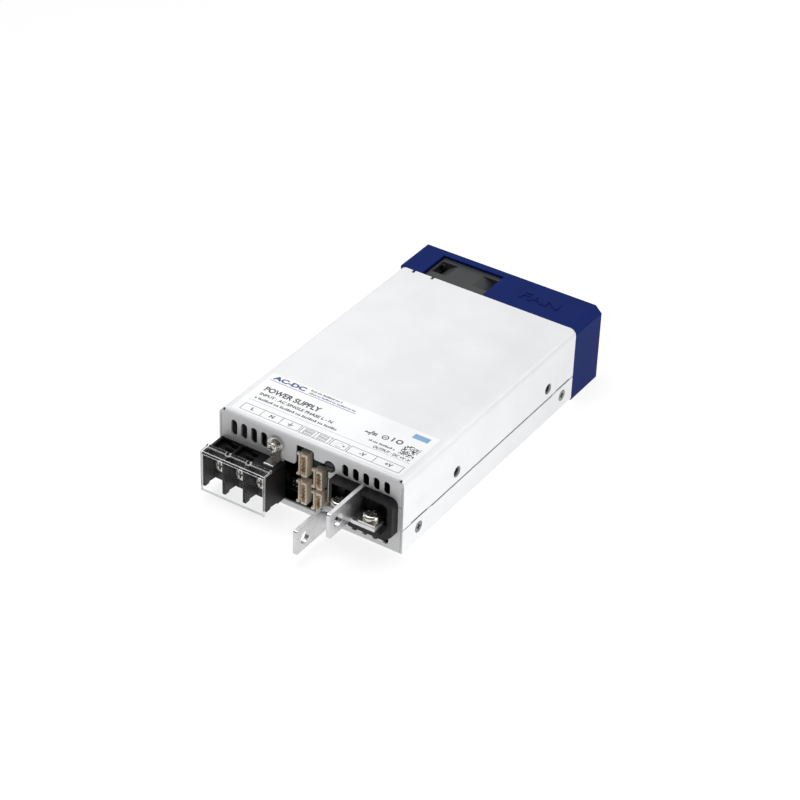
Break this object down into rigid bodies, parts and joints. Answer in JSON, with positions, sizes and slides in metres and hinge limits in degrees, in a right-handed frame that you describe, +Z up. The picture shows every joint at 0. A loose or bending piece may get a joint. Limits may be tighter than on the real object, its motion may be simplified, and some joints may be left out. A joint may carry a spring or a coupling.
{
  "type": "enclosed switching power supply",
  "caption": "Low metal-cased switching power supply with a covered AC terminal block, signal headers, flat output busbars and a moulded fan cap at the rear.",
  "frame": {"origin": "centre of the metal housing's underside, on its bottom face", "axes": "+Y from the terminal panel to the fan end, +Z up out of the underside, +X to the right seen from the terminal panel"},
  "size_m": [0.1016, 0.2096, 0.041],
  "materials": {
    "housing_white": "smooth satin powder coat",
    "bright_zinc": "bright zinc plate",
    "nickel": "nickel plate",
    "tin_plated": "tin plated copper",
    "black_moulding": "fine moulded texture",
    "clear_cover": "clear polycarbonate",
    "header_beige": "moulded nylon",
    "pin_gold": "gold flash",
    "board_green": "solder mask",
    "trimmer_blue": "moulded",
    "trimmer_white": "moulded",
    "cap_navy": "fine moulded texture",
    "fan_grey": "glass filled moulding",
    "rotor_black": "moulded",
    "film_clear": "polyester film",
    "aluminium": "plain extruded",
    "ferrite": "sintered",
    "winding_copper": "enamelled wire",
    "winding_tape": "polyester tape",
    "component_black": "moulded",
    "capacitor_sleeve": "shrink sleeve",
    "film_yellow": "moulded",
    "fuse_glass": "fired"
  },
  "bodies": {
    "housing": {"chassis": "housing_white", "top_cover": "housing_white", "side_screws": "bright_zinc", "side_mount_nuts": "bright_zinc", "ac_terminal_block": "black_moulding", "ac_terminal_bars": "tin_plated", "ac_clamp_plates": "nickel", "ac_terminal_screws": "nickel", "earth_plate": "nickel", "earth_cup_washer": "nickel", "earth_flat_washer": "nickel", "earth_spring_washer": "nickel", "earth_screw": "nickel", "earth_nut": "bright_zinc", "signal_header_upper_left": "header_beige", "signal_header_lower_left": "header_beige", "signal_header_upper_right": "header_beige", "signal_header_lower_right": "header_beige", "header_pins": "pin_gold", "signal_board": "board_green", "trimmer_body": "trimmer_blue", "output_terminal_base": "black_moulding", "busbar_plus": "tin_plated", "busbar_minus": "tin_plated", "output_tab_plus": "tin_plated", "output_tab_minus": "tin_plated", "square_washers": "nickel", "output_screws": "nickel", "main_board": "board_green", "insulation_sheet": "film_clear", "board_standoffs": "bright_zinc", "board_screws": "bright_zinc", "fuse": "fuse_glass", "line_filter_choke": "winding_copper", "x_capacitor": "film_yellow", "inrush_relay": "component_black", "input_heatsink": "aluminium", "bridge_rectifier": "component_black", "pfc_choke": "winding_copper", "bulk_capacitors": "capacitor_sleeve", "primary_heatsink": "aluminium", "primary_transistors": "component_black", "transformer_core": "ferrite", "transformer_winding": "winding_tape", "output_heatsink": "aluminium", "output_transistors": "component_black", "output_choke": "winding_copper", "output_capacitors": "capacitor_sleeve", "control_board": "board_green", "fan_header": "trimmer_white", "fan_cap": "cap_navy", "fan_frame_left": "fan_grey", "fan_frame_right": "fan_grey"},
    "fan_left": {"fan_rotor_left": "rotor_black"},
    "fan_right": {"fan_rotor_right": "rotor_black"},
    "ac_cover": {"ac_terminal_cover": "clear_cover"},
    "trimmer": {"trimmer_rotor": "trimmer_white"}
  },
  "joints": [
    {"name": "fan_left_spin", "type": "hinge", "parent": "housing", "child": "fan_left", "pos_m": [-0.0205, 0.0864, 0.0205], "axis": [0, 1, 0], "continuous": true},
    {"name": "fan_right_spin", "type": "hinge", "parent": "housing", "child": "fan_right", "pos_m": [0.0205, 0.0864, 0.0205], "axis": [0, 1, 0], "continuous": true},
    {"name": "ac_cover_hinge", "type": "hinge", "parent": "housing", "child": "ac_cover", "pos_m": [-0.03145, -0.0878, 0.02625], "axis": [-1, 0, 0], "range_deg": [0, 100]},
    {"name": "trimmer_turn", "type": "hinge", "parent": "housing", "child": "trimmer", "pos_m": [0.0108, -0.0752, 0.0327], "axis": [0, 1, 0], "range_deg": [-135, 135]}
  ]
}
